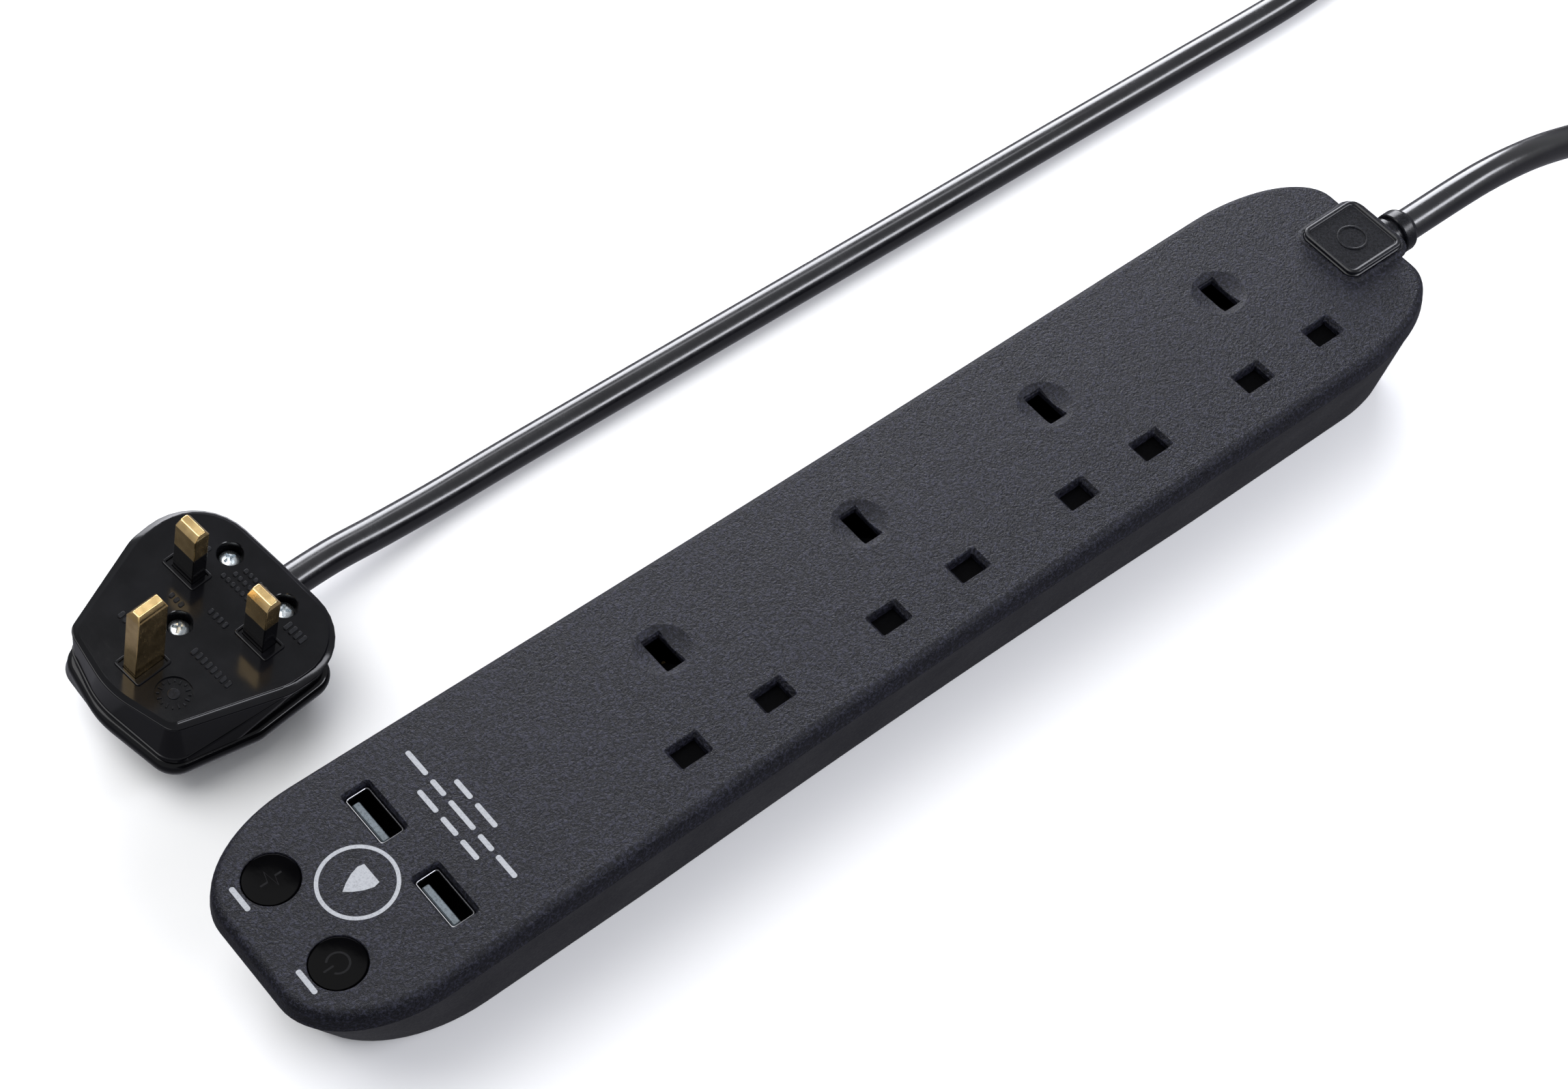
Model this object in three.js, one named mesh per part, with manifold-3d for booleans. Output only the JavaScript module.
// A four-way extension block for three-pin rectangular plugs, with two USB charging ports, two
// indicator lenses and a mains lead that ends in a fused plug. Millimetres, +Z up. The origin is
// the centre of the casing's underside, +X runs along the casing towards the mains lead, and +Y
// points to the side where the earth apertures are.
import * as THREE from "three";
import { mergeVertices } from "three/addons/utils/BufferGeometryUtils.js";
import Module from "manifold-3d";

const wasm = await Module();
wasm.setup();
const { Manifold, Mesh } = wasm;

// ---------------------------------------------------------------- driving dimensions

const GAP = 0.3; // free space kept between pieces that touch

const CASING = { height: 37, wall: 2.3 };
const PARTING_Z = 31.5; // joint between the base and the top cover
const COVER_UNDER_Z = 34.5; // underside of the cover's flat top
const ARCH = { centreX: 5, halfSpan: 89, height: 5 }; // raised middle of the underside

// The casing's outline at the parting line and at its narrower underside. Corners are elliptic,
// given by their semi-axes along X and Y, and each long side draws in by the waist at mid-length.
const RIM = {
  left: -156.5,
  right: 156.5,
  halfWidth: 28.4,
  waist: 0.6,
  corners: { left: [28, 18], right: [32, 15] },
};
const FOOT = {
  left: -146,
  right: 153,
  halfWidth: 20.2,
  waist: 0.2,
  corners: { left: [31, 19.8], right: [17.7, 6.9] },
};

const SOCKET_XS = [-48.5, 5.35, 59.2, 113.05];
const SOCKET_Y = -3.95; // midway between the earth aperture and the line of the other two
const PIN_OFFSET = 11.11; // half of the 22.23 mm pin pitch, along X and along Y
const EARTH_DROP = 0.3; // the earth aperture sits a little further out than its pin
const LINE_HOLE = [6.7, 5.0]; // live and neutral apertures, X by Y
const LINE_MOUTH = [8.4, 6.1]; // the same at the top of their chamfer
const EARTH_HOLE = [4.4, 8.7];
const EARTH_DISH_R = 6.5;

const SHUTTER = { topZ: 34.15, thick: 2.6, stemHalf: 3.4 };

const LENS_AT = [
  ["surge_indicator_lens", -143.2, 11.7],
  ["power_indicator_lens", -143.4, -11.7],
];
const LENS_R = 5.85;
const USB = { x: -118.3, ys: [12, -12], shell: [5.7, 13.1], topZ: 35.6, bottomZ: 20.6 };
const USB_WALL = 0.4;

const ANCHOR = { x: 148.8, half: [8.7, 8.6], topZ: 39 }; // moulded end of the strain relief
const LEAD_R = 4; // mains lead, outside radius
const LEAD_EXIT = { x: 169.2, z: 28.5 };

const COIL = { x: 344, y: 43, inner: 31, outer: 55.5, bottom: 0.3, top: 16.6 };

const PLUG = { at: [-110.05, 80.65, 24.2], turn: [3.99, -8.48, 97.93], depth: 21.5 };
const PLUG_SPLIT = -11.5; // joint between the plug's base and its cover
const PLUG_LEAD_Z = -12;
const PLUG_BACK_Y = -16.8; // the edge that the lead leaves by

// ---------------------------------------------------------------- materials

const finish = (color, roughness, metalness = 0) =>
  new THREE.MeshStandardMaterial({ color, roughness, metalness });
const grainedBlack = finish(0x1d1e21, 0.62);
const satinBlack = finish(0x1a1b1f, 0.45);
const glossBlack = finish(0x0a0a0c, 0.12);
const leadBlack = finish(0x131316, 0.32);
const whiteNylon = finish(0xd9d8d2, 0.5);
const greyNylon = finish(0xb9bcc0, 0.45);
const brass = finish(0xc49a4c, 0.28, 1);
const zinc = finish(0xb9bdc2, 0.35, 1);
const springSteel = finish(0x9da1a6, 0.3, 1);
const boardGreen = finish(0x2c5b3a, 0.55);
const varistorBlue = finish(0x2a4f8f, 0.5);
const ceramic = finish(0xe6e2d8, 0.4);
const darkCore = finish(0x3a3a3d, 0.6);
const darkSleeve = finish(0x22252d, 0.35);
const coreBrown = finish(0x5a3420, 0.45);
const coreBlue = finish(0x2b57a5, 0.45);
const coreGreen = finish(0x5d9a3c, 0.45);

// ---------------------------------------------------------------- solids

// A closed three.js geometry as a solid that can be joined and cut.
function solid(geometry) {
  const bare = geometry.clone();
  bare.deleteAttribute("normal");
  bare.deleteAttribute("uv");
  const merged = mergeVertices(bare, 1e-4);
  const vertProperties = new Float32Array(merged.attributes.position.array);
  const triVerts = new Uint32Array(merged.index.array);
  return new Manifold(new Mesh({ numProp: 3, vertProperties, triVerts }));
}

// A solid back as a three.js geometry.
function geometryOf(shape) {
  const { numProp, vertProperties, triVerts } = shape.getMesh();
  const positions = new Float32Array((vertProperties.length / numProp) * 3);
  for (let i = 0; i < positions.length / 3; i += 1) {
    positions.set(vertProperties.subarray(i * numProp, i * numProp + 3), i * 3);
  }
  const geometry = new THREE.BufferGeometry();
  geometry.setAttribute("position", new THREE.BufferAttribute(positions, 3));
  geometry.setIndex(new THREE.BufferAttribute(new Uint32Array(triVerts), 1));
  const flat = geometry.toNonIndexed();
  flat.computeVertexNormals();
  return flat;
}

function box([x0, x1], [y0, y1], [z0, z1]) {
  const geometry = new THREE.BoxGeometry(x1 - x0, y1 - y0, z1 - z0);
  geometry.translate((x0 + x1) / 2, (y0 + y1) / 2, (z0 + z1) / 2);
  return solid(geometry);
}

// An upright cylinder or cone frustum at x, y.
function column(x, y, [z0, z1], r0, r1 = r0, sides = 20) {
  const geometry = new THREE.CylinderGeometry(r1, r0, z1 - z0, sides);
  geometry.rotateX(Math.PI / 2);
  geometry.translate(x, y, (z0 + z1) / 2);
  return solid(geometry);
}

// A cylinder lying along X or Y, centred at the given point.
function rod(axis, [x, y, z], length, radius, sides = 16) {
  const geometry = new THREE.CylinderGeometry(radius, radius, length, sides);
  if (axis === "x") geometry.rotateZ(Math.PI / 2);
  geometry.translate(x, y, z);
  return solid(geometry);
}

// A closed body through rings of Vector3 that run anticlockwise and rise along Z.
function loft(rings) {
  const count = rings[0].length;
  const positions = rings.flat().flatMap((p) => [p.x, p.y, p.z]);
  const index = [];
  for (let level = 0; level < rings.length - 1; level += 1) {
    for (let i = 0; i < count; i += 1) {
      const a = level * count + i;
      const b = level * count + ((i + 1) % count);
      index.push(a, b, b + count, a, b + count, a + count);
    }
  }
  const flatCap = (ring) => {
    const outline = ring.map((p) => new THREE.Vector2(p.x, p.y));
    return THREE.ShapeUtils.triangulateShape(outline, []);
  };
  const last = (rings.length - 1) * count;
  for (const [a, b, c] of flatCap(rings[0])) index.push(c, b, a);
  for (const [a, b, c] of flatCap(rings.at(-1))) index.push(last + a, last + b, last + c);
  const geometry = new THREE.BufferGeometry();
  geometry.setAttribute("position", new THREE.Float32BufferAttribute(positions, 3));
  geometry.setIndex(index);
  return solid(geometry);
}

const ringAt = (outline, z) => outline.map((p) => new THREE.Vector3(p.x, p.y, z));

// A rectangle's outline about x, y.
function rectangle(x, y, width, depth) {
  const [w, d] = [width / 2, depth / 2];
  const corners = [[-w, -d], [w, -d], [w, d], [-w, d]];
  return corners.map(([dx, dy]) => new THREE.Vector2(x + dx, y + dy));
}

// A rectangle with rounded corners, about x, y.
function roundedRectangle(x, y, width, depth, radius, steps = 4) {
  const points = [];
  const centres = [[1, -1, -90], [1, 1, 0], [-1, 1, 90], [-1, -1, 180]];
  for (const [sx, sy, from] of centres) {
    for (let i = 0; i <= steps; i += 1) {
      const angle = THREE.MathUtils.degToRad(from + (90 * i) / steps);
      const cx = x + sx * (width / 2 - radius);
      const cy = y + sy * (depth / 2 - radius);
      points.push(new THREE.Vector2(cx + radius * Math.cos(angle), cy + radius * Math.sin(angle)));
    }
  }
  return points;
}

// A frustum between two rectangles, from [width, depth] at z0 to [width, depth] at z1.
function taperedBlock(x, y, [z0, size0], [z1, size1]) {
  return loft([ringAt(rectangle(x, y, ...size0), z0), ringAt(rectangle(x, y, ...size1), z1)]);
}

// A round section swept along a smooth curve through the points.
function tube(points, radius, sides, steps) {
  const section = new THREE.Shape();
  for (let i = 0; i < sides; i += 1) {
    const angle = (2 * Math.PI * i) / sides;
    const [px, py] = [radius * Math.cos(angle), radius * Math.sin(angle)];
    if (i === 0) section.moveTo(px, py);
    else section.lineTo(px, py);
  }
  section.closePath();
  const extrudePath = new THREE.CatmullRomCurve3(points.map((p) => new THREE.Vector3(...p)));
  return new THREE.ExtrudeGeometry(section, { steps, extrudePath, bevelEnabled: false });
}

const part = new THREE.Group();
const plug = new THREE.Group();
plug.position.set(...PLUG.at);
plug.rotation.set(...PLUG.turn.map(THREE.MathUtils.degToRad), "ZYX");
part.add(plug);

// Adds a named piece. The shape is a solid or a three.js geometry.
function piece(name, shape, material, parent = part) {
  const mesh = new THREE.Mesh(shape.isBufferGeometry ? shape : geometryOf(shape), material);
  mesh.name = name;
  parent.add(mesh);
  return mesh;
}

// ---------------------------------------------------------------- casing outline

// One of the casing's outlines seen from above, drawn in by inset.
function casingOutline({ left, right, halfWidth, waist, corners }, inset) {
  const points = [];
  const steps = 7;
  const middle = (left + right) / 2;
  const inner = { left: left + corners.left[0], right: right - corners.right[0] };
  const drawIn = (x) => waist * Math.cos((Math.PI * (x - middle)) / (right - left)) ** 2;
  const corner = (end, sy, from) => {
    const [a, b] = corners[end];
    for (let i = 0; i <= steps; i += 1) {
      const angle = THREE.MathUtils.degToRad(from + (90 * i) / steps);
      const x = inner[end] + (a - inset) * Math.cos(angle);
      const y = sy * (halfWidth - b) + (b - inset) * Math.sin(angle);
      points.push(new THREE.Vector2(x, y - sy * Math.abs(Math.sin(angle)) * drawIn(x)));
    }
  };
  const longSide = (from, to, sy) => {
    for (const t of [0.2, 0.4, 0.6, 0.8]) {
      const x = inner[from] + (inner[to] - inner[from]) * t;
      points.push(new THREE.Vector2(x, sy * (halfWidth - inset - drawIn(x))));
    }
  };
  corner("right", -1, -90);
  corner("right", 1, 0);
  longSide("right", "left", 1);
  corner("left", 1, 90);
  corner("left", -1, 180);
  longSide("left", "right", -1);
  return points;
}

// An upright-sided block on the parting line's outline. Levels are [z, inset] from the bottom up.
function casingLoft(levels) {
  return loft(levels.map(([z, inset]) => ringAt(casingOutline(RIM, inset), z)));
}

// A block whose straight flanks run from the underside's outline out to the parting line's.
function flankLoft(levels) {
  return loft(levels.map(([z, inset]) => {
    const rim = casingOutline(RIM, inset);
    const foot = casingOutline(FOOT, inset);
    return ringAt(foot.map((p, i) => p.lerp(rim[i], z / PARTING_Z)), z);
  }));
}

const lineHoleCentres = SOCKET_XS.flatMap((x) => [
  [x - PIN_OFFSET, SOCKET_Y - PIN_OFFSET],
  [x + PIN_OFFSET, SOCKET_Y - PIN_OFFSET],
]);
const earthHoleCentres = SOCKET_XS.map((x) => [x, SOCKET_Y + PIN_OFFSET + EARTH_DROP]);
const SCREW_SPOTS = [[-79, 13], [-79, -13], [32.3, 0], [137, 13], [137, -13]];

// ---------------------------------------------------------------- top cover

const THROUGH_Z = [COVER_UNDER_Z - 1, CASING.height + 1];

function shutterRails(x) {
  const lengths = [-10.2, 1.8];
  const outer = SHUTTER.stemHalf + 1.7;
  const inner = SHUTTER.stemHalf + GAP;
  const lip = SHUTTER.stemHalf - 1;
  const lipZ = SHUTTER.topZ - SHUTTER.thick - GAP;
  const rails = [1, -1].map((s) => {
    const wallX = [s * inner, s * outer].sort((a, b) => a - b).map((v) => v + x);
    const lipX = [s * lip, s * outer].sort((a, b) => a - b).map((v) => v + x);
    const wall = box(wallX, lengths, [lipZ - 0.9, COVER_UNDER_Z + 0.5]);
    return wall.add(box(lipX, lengths, [lipZ - 0.9, lipZ]));
  });
  const stopZ = [SHUTTER.topZ - SHUTTER.thick, COVER_UNDER_Z + 0.5];
  const springStop = box([x - 1.3, x + 1.3], [-10.3, -9.3], stopZ);
  return rails[0].add(rails[1]).add(springStop);
}

function topCover() {
  let cover = casingLoft([
    [PARTING_Z + GAP / 2, 0],
    [35.3, 0.45],
    [36.3, 0.8],
    [36.8, 1.3],
    [CASING.height, 1.95],
  ]);
  cover = cover.subtract(casingLoft([[PARTING_Z - 1, CASING.wall], [COVER_UNDER_Z, CASING.wall + 0.3]]));
  for (const x of SOCKET_XS) cover = cover.add(shutterRails(x));
  for (const [x, y] of SCREW_SPOTS) {
    cover = cover.add(column(x, y, [14, COVER_UNDER_Z + 0.5], 3.2));
    cover = cover.subtract(column(x, y, [13, 23], 1.7, 1.7, 12));
  }
  for (const [x, y] of lineHoleCentres) {
    cover = cover.subtract(box([x - LINE_HOLE[0] / 2, x + LINE_HOLE[0] / 2],
      [y - LINE_HOLE[1] / 2, y + LINE_HOLE[1] / 2], THROUGH_Z));
    cover = cover.subtract(taperedBlock(x, y, [36, LINE_HOLE], [37.02, LINE_MOUTH]));
  }
  for (const [x, y] of earthHoleCentres) {
    cover = cover.subtract(box([x - EARTH_HOLE[0] / 2, x + EARTH_HOLE[0] / 2],
      [y - EARTH_HOLE[1] / 2, y + EARTH_HOLE[1] / 2], THROUGH_Z));
    cover = cover.subtract(column(x, y, [36.1, 37.02], EARTH_DISH_R - 1.4, EARTH_DISH_R, 28));
  }
  for (const [, x, y] of LENS_AT) {
    cover = cover.subtract(column(x, y, THROUGH_Z, LENS_R + GAP, LENS_R + GAP, 32));
  }
  for (const y of USB.ys) {
    const slot = [USB.shell[0] + 2 * GAP, USB.shell[1] + 2 * GAP];
    cover = cover.subtract(taperedBlock(USB.x, y, [THROUGH_Z[0], slot], [THROUGH_Z[1], slot]));
    cover = cover.subtract(taperedBlock(USB.x, y, [36.2, slot], [37.02, [7.05, 14.4]]));
  }
  const [halfX, halfY] = ANCHOR.half;
  const notch = roundedRectangle(ANCHOR.x, 0, 2 * (halfX + GAP), 2 * (halfY + GAP), 2.5 + GAP);
  cover = cover.subtract(loft([ringAt(notch, 25), ringAt(notch, 40)]));
  return cover.subtract(box([ANCHOR.x, 160], [-6.3, 6.3], [25, 40]));
}
piece("top_cover", topCover(), grainedBlack);

// ---------------------------------------------------------------- base

// How far the underside is raised at x.
function archHeight(x) {
  const u = Math.min(1, Math.abs(x - ARCH.centreX) / ARCH.halfSpan);
  return ARCH.height * (1 - u * u);
}

// An upright-walled block under the arc of the underside's arch, raised by lift.
function archBlock(lift) {
  const profile = [];
  const steps = 16;
  const depth = ARCH.height + 5;
  for (let i = 0; i <= steps; i += 1) {
    const x = ARCH.centreX + ARCH.halfSpan * (-1 + (2 * i) / steps);
    profile.push(new THREE.Vector2(x, lift + archHeight(x)));
  }
  profile.unshift(new THREE.Vector2(ARCH.centreX - ARCH.halfSpan, lift - depth));
  profile.push(new THREE.Vector2(ARCH.centreX + ARCH.halfSpan, lift - depth));
  const geometry = new THREE.ExtrudeGeometry(new THREE.Shape(profile), { depth: 80, bevelEnabled: false });
  geometry.rotateX(Math.PI / 2);
  geometry.translate(0, 40, 0);
  return solid(geometry);
}

function base() {
  const hull = flankLoft([[0, 1.05], [0.8, 0.25], [PARTING_Z - GAP / 2, 0.25]]);
  const hollow = flankLoft([[CASING.wall, CASING.wall + 0.2], [PARTING_Z + 1, CASING.wall + 0.2]]);
  let shell = hull.subtract(hollow.subtract(archBlock(CASING.wall)));
  shell = shell.subtract(archBlock(0));
  for (const [x, y] of SCREW_SPOTS) {
    shell = shell.add(column(x, y, [archHeight(x) + 1, 13.7], 4.6));
    shell = shell.subtract(column(x, y, [-1, 10.5], 3.1));
    shell = shell.subtract(column(x, y, [10, 15], 1.7, 1.7, 12));
  }
  const seat = roundedRectangle(ANCHOR.x, 0, 2 * (ANCHOR.half[0] + GAP), 2 * (ANCHOR.half[1] + GAP), 2.8);
  shell = shell.subtract(loft([ringAt(seat, 21.7), ringAt(seat, 40)]));
  return shell.subtract(box([ANCHOR.x, 160], [-6.3, 6.3], [21.7, 40]));
}
piece("base", base(), satinBlack);

SCREW_SPOTS.forEach(([x, y], i) => {
  const shank = column(x, y, [8.5, 21], 1.35, 1.35, 10);
  const head = column(x, y, [7.4, 9.9], 2.7, 2.7, 16);
  const cross = box([x - 1.7, x + 1.7], [y - 0.4, y + 0.4], [6, 8.4]);
  const crossTurned = box([x - 0.4, x + 0.4], [y - 1.7, y + 1.7], [6, 8.4]);
  piece(`casing_screw_${i + 1}`, shank.add(head).subtract(cross).subtract(crossTurned), zinc);
});

// ---------------------------------------------------------------- shutters and their springs

// A T-shaped plate. Its bar covers the live and neutral apertures, and the slope at its tail is
// what the longer earth pin pushes aside.
function shutter(x) {
  const [z0, z1] = [SHUTTER.topZ - SHUTTER.thick, SHUTTER.topZ];
  const half = SHUTTER.stemHalf;
  const bar = box([x - 15.4, x + 15.4], [-18.3, -11.9], [z0, z1]);
  const stem = box([x - half, x + half], [-13, 3.4], [z0, z1]);
  const window = box([x - 1.7, x + 1.7], [-10.7, 1.6], [z0 - 1, z1 + 1]);
  const side = new THREE.Shape([[3.2, 33.9], [2.4, 33.9], [2.4, 27.6], [9.2, 27.6], [9.2, 28.2]]
    .map((p) => new THREE.Vector2(...p)));
  const slope = new THREE.ExtrudeGeometry(side, { depth: 4.2, bevelEnabled: false });
  slope.rotateX(Math.PI / 2);
  slope.rotateZ(Math.PI / 2);
  slope.translate(x - 2.1, 0, 0);
  return bar.add(stem).subtract(window).add(solid(slope));
}

function spring(x) {
  const [turns, stepsPerTurn, radius, wire] = [7, 8, 1.05, 0.2];
  const [start, end, z] = [-8.8, 1.1, SHUTTER.topZ - SHUTTER.thick / 2];
  const points = [];
  for (let i = 0; i <= turns * stepsPerTurn; i += 1) {
    const angle = (2 * Math.PI * i) / stepsPerTurn;
    const y = start + ((end - start) * i) / (turns * stepsPerTurn);
    points.push([x + radius * Math.cos(angle), y, z + radius * Math.sin(angle)]);
  }
  return tube(points, wire, 4, turns * stepsPerTurn);
}

SOCKET_XS.forEach((x, i) => {
  piece(`socket_shutter_${i + 1}`, shutter(x), satinBlack);
  piece(`shutter_spring_${i + 1}`, spring(x), springSteel);
});

// ---------------------------------------------------------------- busbars

const LEAF = { thick: 0.7, gap: 4.3, z: [16.2, 26.5] };

// A brass strip along X with a pair of upright leaves for each pin. The leaves grip the pin on
// the faces named by grip, and a foot joins each pair to the strip.
function busbar(stripY, [x0, x1], pins, grip, width) {
  const stripZ = [12.6, 16.2];
  let bar = box([x0, x1], [stripY - 0.5, stripY + 0.5], stripZ);
  const [inner, outer] = [LEAF.gap / 2, LEAF.gap / 2 + LEAF.thick];
  for (const [x, y] of pins) {
    const across = [-width / 2, width / 2];
    const foot = [LEAF.z[0] - 0.9, LEAF.z[0]];
    for (const s of [-1, 1]) {
      const leaf = [s * inner, s * outer].sort((a, b) => a - b);
      const [dx, dy] = grip === "y" ? [across, leaf] : [leaf, across];
      bar = bar.add(box(dx.map((v) => v + x), dy.map((v) => v + y), [foot[0], LEAF.z[1]]));
    }
    const reach = Math.sign(y - stripY);
    const footY = [stripY - 0.5 * reach, y + reach * (grip === "y" ? outer : width / 2)];
    const footX = grip === "y" ? across : [-outer, outer];
    bar = bar.add(box(footX.map((v) => v + x), footY.sort((a, b) => a - b), foot));
  }
  return bar;
}

const lineY = SOCKET_Y - PIN_OFFSET;
const earthY = SOCKET_Y + PIN_OFFSET;
const livePins = SOCKET_XS.map((x) => [x + PIN_OFFSET, lineY]);
const neutralPins = SOCKET_XS.map((x) => [x - PIN_OFFSET, lineY]);
const earthPins = SOCKET_XS.map((x) => [x, earthY]);
piece("live_busbar", busbar(-18.6, [-66, 128], livePins, "y", 6), brass);
piece("neutral_busbar", busbar(-10.4, [-66, 128], neutralPins, "y", 6), brass);
piece("earth_busbar", busbar(13.8, [-66, 128], earthPins, "x", 7), brass);

// ---------------------------------------------------------------- indicators

for (const [name, x, y] of LENS_AT) {
  const face = column(x, y, [33, CASING.height - 0.05], LENS_R, LENS_R, 32);
  const flange = column(x, y, [32.7, COVER_UNDER_Z - GAP], LENS_R + 1.2, LENS_R + 1.2, 24);
  const guide = column(x, y, [25, 33], 2.2, 2.8, 16);
  piece(name, face.add(flange).add(guide), glossBlack);
  const led = column(x, y, [21.4, 24.6], 1.5, 1.5, 12);
  piece(name.replace("indicator_lens", "led"), led.add(column(x, y, [21.4, 22.2], 1.9, 1.9, 12)), ceramic);
}

// ---------------------------------------------------------------- USB ports and charger board

USB.ys.forEach((y, i) => {
  const [w, d] = USB.shell;
  const outer = box([USB.x - w / 2, USB.x + w / 2], [y - d / 2, y + d / 2], [USB.bottomZ + 0.8, USB.topZ]);
  const [iw, id] = [w / 2 - USB_WALL, d / 2 - USB_WALL];
  const inner = box([USB.x - iw, USB.x + iw], [y - id, y + id], [USB.bottomZ + 1.6, USB.topZ + 1]);
  piece(`usb_shell_${i + 1}`, outer.subtract(inner), zinc);
  const tongue = box([USB.x - 1.9, USB.x - 0.1], [y - 5.5, y + 5.5], [24, 34.6]);
  const block = box([USB.x - iw + GAP, USB.x + iw - GAP], [y - id + GAP, y + id - GAP], [22.5, 24.5]);
  piece(`usb_tongue_${i + 1}`, tongue.add(block), greyNylon);
});

// A printed board with rounded corners, standing at z.
function board([x0, x1], halfDepth, radius, z) {
  const outline = roundedRectangle((x0 + x1) / 2, 0, x1 - x0, 2 * halfDepth, radius);
  return loft([ringAt(outline, z), ringAt(outline, z + 1.6)]);
}
piece("charger_board", board([-148, -86], 17, 8, 19.5), boardGreen);

function transformer() {
  const core = box([-101, -90], [-7, 7], [21.5, 32]);
  const windows = [[-7.1, -4.6], [4.6, 7.1]].map((ys) => box([-98.5, -92.5], ys, [24, 29.5]));
  return core.subtract(windows[0]).subtract(windows[1]);
}
piece("charger_transformer", transformer(), darkCore);
piece("charger_capacitor", column(-96, 13, [21.5, 32], 4, 4, 20), darkSleeve);

// ---------------------------------------------------------------- surge protection board

piece("surge_board", board([-138, -90], 12, 6, 6), boardGreen);
[-133, -123, -113].forEach((x, i) => {
  const disc = rod("x", [x, 0, 13.2], 3.6, 5, 20);
  const legs = box([x - 0.9, x + 0.9], [-3.4, 3.4], [7.9, 10.5]);
  piece(`varistor_${i + 1}`, disc.add(legs), varistorBlue);
});
piece("thermal_fuse", rod("y", [-103, 0, 10.4], 11, 1.9, 14), ceramic);

// ---------------------------------------------------------------- strain relief on the casing

// The moulded end block is locked in the casing's end. Its sleeve carries a groove and a collar,
// and the collar's tail tapers down to the lead.
function cordAnchor() {
  const [halfX, halfY] = ANCHOR.half;
  const at = (grow) => roundedRectangle(ANCHOR.x, 0, 2 * (halfX + grow), 2 * (halfY + grow), 2.5 + grow);
  const head = loft([
    ringAt(at(0), 22),
    ringAt(at(0), 37.6),
    ringAt(at(-0.25), ANCHOR.topZ - 0.5),
    ringAt(at(-0.9), ANCHOR.topZ),
  ]);
  const profile = [
    [0, 150], [5.2, 150], [5.2, 163.2], [4.3, 163.5], [4.3, 164.5], [5.3, 164.8], [5.3, 167.6],
    [5, 168.2], [4.3, 169], [4.2, LEAD_EXIT.x], [0, LEAD_EXIT.x],
  ];
  const sleeve = new THREE.LatheGeometry(profile.map(([r, h]) => new THREE.Vector2(r, h)), 24);
  sleeve.rotateZ(-Math.PI / 2);
  sleeve.translate(0, 0, LEAD_EXIT.z);
  return head.add(solid(sleeve));
}
piece("cord_anchor", cordAnchor(), satinBlack);

// ---------------------------------------------------------------- conductors inside the casing

const CORE_R = 1.3;
const coresIn = [
  ["live_core", coreBrown, [[139.5, -3.4, 27], [136.5, -4, 26.6], [132, -12, 21], [130, -18.2, 17.5]]],
  ["neutral_core", coreBlue, [[139.5, 0, 27], [136, -0.5, 26], [131, -6, 19.5], [129.8, -10.4, 17.5]]],
  ["earth_core", coreGreen, [[139.5, 3.4, 27], [136, 4.5, 26], [131.5, 10.5, 20.5], [130, 13.8, 17.5]]],
];
const coresOut = [
  ["live_board_lead", coreBrown, [[-67, -18, 14.4], [-71, -10.5, 13.5], [-77, -5.6, 12], [-88, -7, 9.6]]],
  ["neutral_board_lead", coreBlue, [[-67, -10, 14.4], [-71, -4, 13.5], [-77, -1.6, 12], [-88, -2, 9.6]]],
  ["earth_board_lead", coreGreen, [[-67, 13, 14.4], [-71, 8, 13.5], [-77, 4, 12], [-88, 4, 9.6]]],
];
for (const [name, material, points] of [...coresIn, ...coresOut]) {
  piece(name, tube(points, CORE_R, 8, 10), material);
}

// ---------------------------------------------------------------- plug

// The outline around circles listed anticlockwise as [x, y, radius].
function aroundCircles(circles, steps = 5) {
  const normals = circles.map(([x, y, r], i) => {
    const [nx, ny, nr] = circles[(i + 1) % circles.length];
    const length = Math.hypot(nx - x, ny - y);
    const [dx, dy] = [(nx - x) / length, (ny - y) / length];
    const along = (r - nr) / length;
    const across = Math.sqrt(1 - along * along);
    return Math.atan2(dy * along - dx * across, dx * along + dy * across);
  });
  return circles.flatMap(([x, y, r], i) => {
    const start = normals[(i + circles.length - 1) % circles.length];
    let sweep = normals[i] - start;
    while (sweep < 0) sweep += 2 * Math.PI;
    return Array.from({ length: steps + 1 }, (_, k) => {
      const angle = start + (sweep * k) / steps;
      return new THREE.Vector2(x + r * Math.cos(angle), y + r * Math.sin(angle));
    });
  });
}

// The plug's outline: round corners by the lead, a shoulder and the narrower earth end's
// corners, with a bulging edge at the lead end and at the earth end.
function plugOutline(leadEdge, lead, shoulder, corner, earthEdge) {
  const right = [lead, shoulder, corner];
  const left = [corner, shoulder, lead].map(([x, y, r]) => [-x, y, r]);
  return aroundCircles([leadEdge, ...right, earthEdge, ...left]);
}

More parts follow.
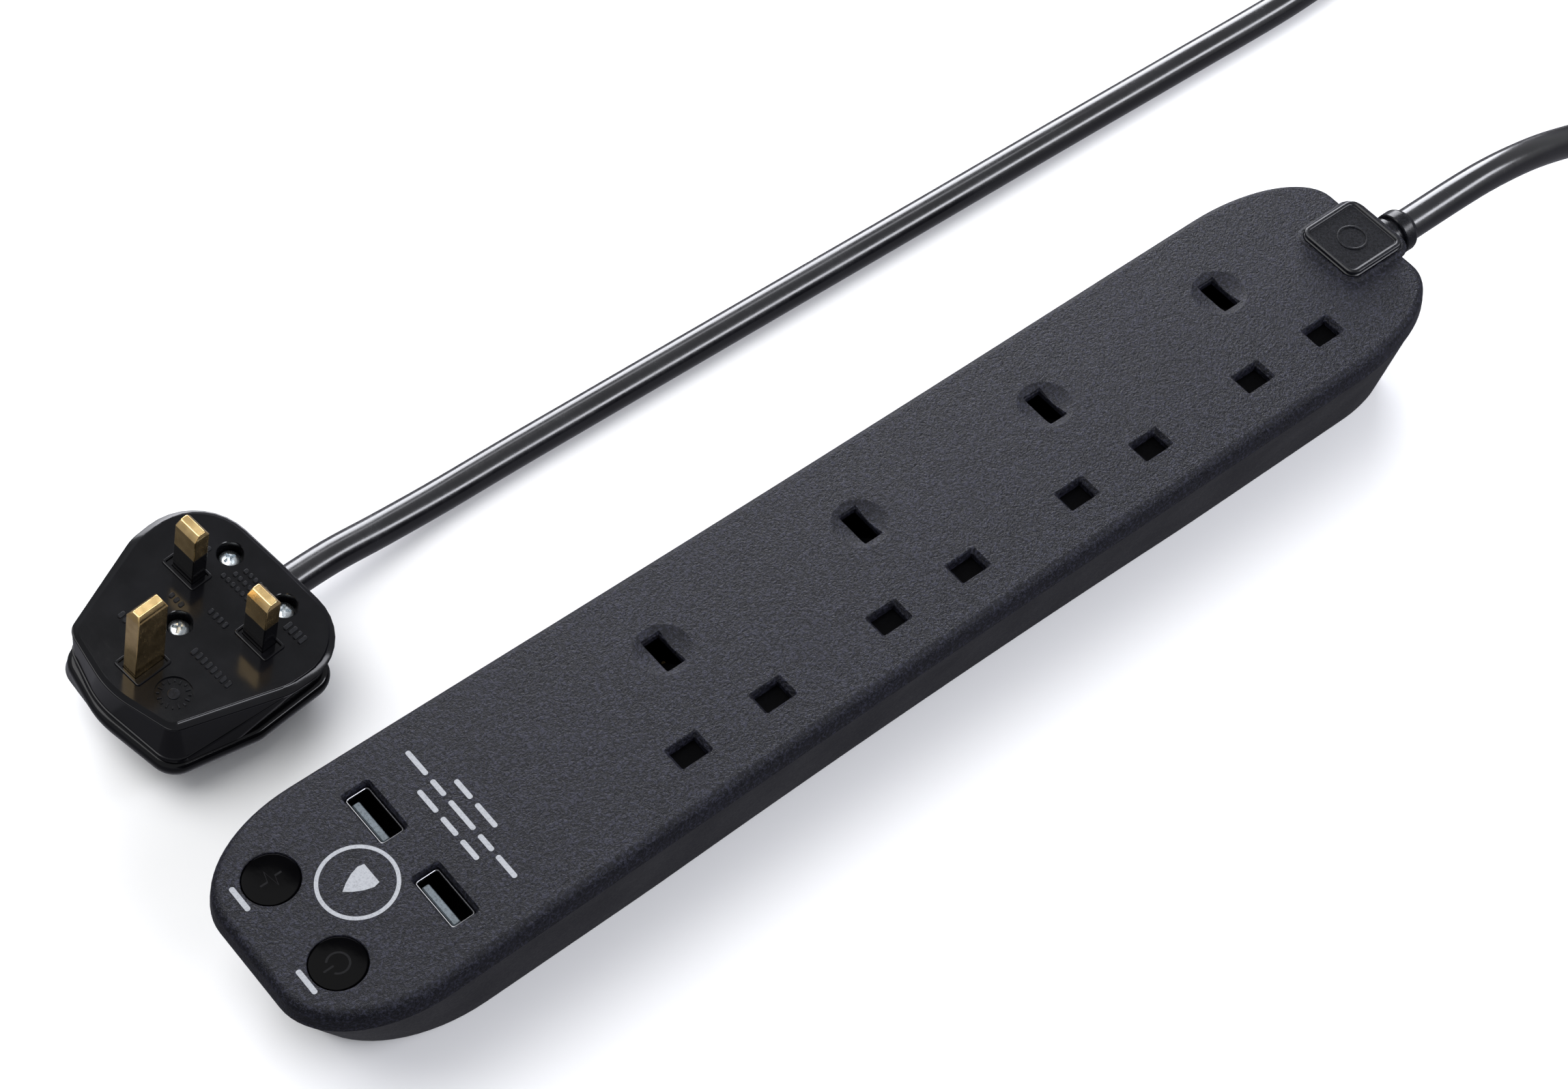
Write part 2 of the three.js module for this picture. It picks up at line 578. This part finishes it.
const outlines = {
  face: plugOutline([0, 2, 18.6], [11.3, -2.8, 13.7], [12.4, 0.5, 12.3], [13, 24.8, 3.1], [0, 9.6, 21.2]),
  rim: plugOutline([0, 2.4, 19.2], [11.3, -2.3, 14.4], [12.4, 1, 13.1], [13.2, 25.2, 4], [0, 9.8, 22]),
  step: plugOutline([0, 2.4, 18.6], [11.3, -2.3, 13.8], [12.4, 1, 12.5], [14.2, 25.7, 5.6], [0, 10.4, 22]),
  band: plugOutline([0, 3, 18.2], [17, -6, 6], [13.6, 14, 9.4], [14, 25.2, 6.2], [0, 10.6, 22]),
  split: plugOutline([0, 3, 18], [14.5, -6, 7], [12.6, 8, 8.8], [13.8, 25, 5.7], [0, 10, 21.8]),
  flange: plugOutline([0, 3.2, 20], [18.3, -7, 6.1], [15, 9, 9.5], [14.2, 25.4, 6.2], [0, 11, 22]),
  lower: plugOutline([0, 3.2, 19], [17.2, -6.4, 5.6], [14.4, 8, 8.6], [13.2, 24.2, 5.8], [0, 9.4, 22]),
  bottom: plugOutline([0, 3, 14.4], [10, -4, 7], [11, 6, 5.6], [7.4, 18, 5.4], [0, 12, 11.8]),
};

// A step runs round the plug's side: just under the rim by the lead, lower at the earth end.
const stepZ = (y) => -2.2 - 6.8 * THREE.MathUtils.clamp((y - 9) / 12, 0, 1);

// The outline pulled in towards its centre line by about the given amount.
function shrunk(outline, amount) {
  const centre = new THREE.Vector2(0, 6);
  return outline.map((p) => {
    const arm = p.clone().sub(centre);
    return centre.clone().add(arm.multiplyScalar(1 - amount / arm.length()));
  });
}

const PINS = {
  earth: { at: [0, 22.23], size: [3.98, 7.95], tip: [1.9, 6.6], length: 22.73, tipRise: 1.7 },
  live: { at: [-11.11, 0], size: [6.35, 3.98], tip: [5.2, 1.9], length: 17.7, tipRise: 1.5 },
  neutral: { at: [11.11, 0], size: [6.35, 3.98], tip: [5.2, 1.9], length: 17.7, tipRise: 1.5 },
};
const SLEEVE_TOP = 9;
const CENTRE_SCREW = [2.5, 10.3];
const GRIP_SCREWS = [[8.6, -9.5], [-8.6, -9.5]];

const leadBore = () => rod("y", [0, PLUG_BACK_Y, PLUG_LEAD_Z], 14, LEAD_R + GAP, 20);

function plugBase() {
  const body = loft([
    ringAt(outlines.split, PLUG_SPLIT + GAP / 2),
    ringAt(outlines.band, -9.8),
    outlines.step.map((p) => new THREE.Vector3(p.x, p.y, stepZ(p.y))),
    ringAt(outlines.rim, -1.1),
    ringAt(outlines.face, 0),
  ]);
  const hollow = loft([
    ringAt(shrunk(outlines.split, 1.9), PLUG_SPLIT - 1),
    ringAt(shrunk(outlines.split, 2.4), -2.6),
  ]);
  let shell = body.subtract(hollow);
  const bosses = [[...CENTRE_SCREW, 4.4, -11], ...GRIP_SCREWS.map(([x, y]) => [x, y, 4, -7.4])];
  for (const [x, y, r, z] of bosses) {
    shell = shell.add(column(x, y, [z, -1], r));
    shell = shell.subtract(column(x, y, [-4.3, 1], 3));
    shell = shell.subtract(column(x, y, [z - 1, 0], 1.65, 1.65, 12));
  }
  for (const { at: [x, y], size: [w, d] } of Object.values(PINS)) {
    const [holeX, holeY] = [w / 2 + GAP, d / 2 + GAP];
    shell = shell.subtract(box([x - holeX, x + holeX], [y - holeY, y + holeY], [-5, 1]));
  }
  return shell.subtract(leadBore());
}
piece("plug_base", plugBase(), glossBlack, plug);

function plugCover() {
  const back = -PLUG.depth;
  const body = loft([
    ringAt(outlines.bottom, back),
    ringAt(outlines.lower, -18),
    ringAt(outlines.flange, -13.6),
    ringAt(shrunk(outlines.flange, 0.9), PLUG_SPLIT - GAP / 2),
  ]);
  const hollow = loft([
    ringAt(shrunk(outlines.bottom, 1.5), -19.7),
    ringAt(shrunk(outlines.lower, 2.4), -17.5),
    ringAt(shrunk(outlines.flange, 3), PLUG_SPLIT + 1),
  ]);
  const [x, y] = CENTRE_SCREW;
  let shell = body.subtract(hollow).add(column(x, y, [-20.4, -11.9], 3.5));
  shell = shell.subtract(column(x, y, [-18.2, -11], 1.7, 1.7, 12));
  return shell.subtract(leadBore());
}
piece("plug_cover", plugCover(), glossBlack, plug);

// A pin with a bevelled tip, standing on a terminal block inside the plug.
function plugPin({ at: [x, y], size, tip, length, tipRise }, neck) {
  const shoulder = neck ? SLEEVE_TOP + GAP : -4.8;
  let pin = loft([
    ringAt(rectangle(x, y, ...size), shoulder),
    ringAt(rectangle(x, y, ...size), length - tipRise),
    ringAt(rectangle(x, y, ...tip), length),
  ]);
  if (neck) pin = pin.add(box([x - 2.3, x + 2.3], [y - 1.15, y + 1.15], [-5, shoulder + 0.5]));
  return pin.add(box([x - 2.8, x + 2.8], [y - 2.8, y + 2.8], [-9.6, -4.6]));
}
piece("plug_earth_pin", plugPin(PINS.earth, false), brass, plug);
for (const side of ["live", "neutral"]) {
  piece(`plug_${side}_pin`, plugPin(PINS[side], true), brass, plug);
  const { at: [x, y], size } = PINS[side];
  const sleeve = taperedBlock(x, y, [-3.6, size], [SLEEVE_TOP, size]);
  const bore = box([x - 2.6, x + 2.6], [y - 1.45, y + 1.45], [-5, 10]);
  piece(`plug_${side}_pin_sleeve`, sleeve.subtract(bore), satinBlack, plug);
}

// A cross-recessed screw with its head down by depth from the plug's face.
function plugScrew([x, y], depth, length) {
  const head = column(x, y, [-depth - 1.6, -depth], 2.5, 2.2, 18);
  const shank = column(x, y, [-depth - length, -depth - 1], 1.3, 1.3, 10);
  const cross = box([x - 1.5, x + 1.5], [y - 0.35, y + 0.35], [-depth - 0.9, 1]);
  const crossTurned = box([x - 0.35, x + 0.35], [y - 1.5, y + 1.5], [-depth - 0.9, 1]);
  return head.add(shank).subtract(cross).subtract(crossTurned);
}
piece("plug_cover_screw", plugScrew(CENTRE_SCREW, 2.3, 14.5), zinc, plug);
GRIP_SCREWS.forEach((at, i) => piece(`cord_grip_screw_${i + 1}`, plugScrew(at, 2.3, 15.4), zinc, plug));

function cordGrip() {
  let bar = box([-10.9, 10.9], [-11, -7.6], [-17.7, -16.3]);
  for (const [x, y] of GRIP_SCREWS) bar = bar.subtract(column(x, y, [-20, -15], 1.65, 1.65, 12));
  return bar;
}
piece("plug_cord_grip", cordGrip(), whiteNylon, plug);
piece("plug_fuse", rod("y", [-10, 7.2, -14.9], 20, 2.9, 16), ceramic, plug);
for (const [name, y] of [["fuse_clip_live", 12.6], ["fuse_clip_line", 1.8]]) {
  const clip = rod("y", [-10, y, -14.9], 4, 3.7, 16).subtract(rod("y", [-10, y, -14.9], 6, 3.2, 16));
  piece(name, clip.subtract(box([-11.6, -8.4], [y - 3, y + 3], [-14.9, -10])), brass, plug);
}

// ---------------------------------------------------------------- mains lead

// The lead leaves the collar level, comes down to the surface and joins the coil's lower layer.
const leadFromCasing = [
  [LEAD_EXIT.x + GAP, 0, 28.5], [178, 0, 28.5], [187, 0, 28.4], [196, 0, 27.9], [206, -0.1, 26.5],
  [217, -0.2, 23.8], [229, -0.4, 19.6], [241, -0.7, 14.8], [253, -1.3, 10.2], [264, -2.3, 7],
  [275, -3.8, 5.2], [286, -5.4, 4.4], [298, -6.9, 4.15], [311, -7.8, 4.1],
];
// The lead leaves the coil's upper layer and runs along the surface to the plug.
const leadToPlug = [
  [320, 100.2, 11.4], [308, 99.8, 10], [295, 98, 8.2], [282, 95.4, 6.5], [268, 92.3, 5.1],
  [254, 89.4, 4.4], [240, 87.2, 4.15], [222, 86, 4.1], [182, 86.3, 4.1], [140, 86.9, 4.1], [90, 87.4, 4.1],
  [42, 88, 4.1], [0, 88.5, 4.1], [-30, 88.8, 4.15], [-50, 88.5, 4.7], [-66, 87.8, 6.5],
  [-80, 86.8, 9],
];

const plugExit = new THREE.Vector3(0, PLUG_BACK_Y - GAP, PLUG_LEAD_Z);
plug.updateMatrixWorld(true);
plug.localToWorld(plugExit);
piece("mains_lead_casing_end", tube(leadFromCasing, LEAD_R, 10, 22), leadBlack);
piece("mains_lead_plug_end", tube([...leadToPlug, plugExit.toArray()], LEAD_R, 10, 40), leadBlack);

// The rest of the lead is wound in a flat round coil, shown by its outer shape.
function coil() {
  const corner = 3.5;
  const { inner, outer, bottom, top } = COIL;
  const profile = [
    [inner, bottom + corner], [inner + corner, bottom], [outer - corner, bottom], [outer, bottom + corner],
    [outer, top - corner], [outer - corner, top], [inner + corner, top], [inner, top - corner],
    [inner, bottom + corner],
  ];
  const geometry = new THREE.LatheGeometry(profile.map((p) => new THREE.Vector2(...p)), 40);
  geometry.rotateX(Math.PI / 2);
  geometry.translate(COIL.x, COIL.y, 0);
  return solid(geometry);
}
piece("mains_lead_coil", coil(), leadBlack);

export default part;
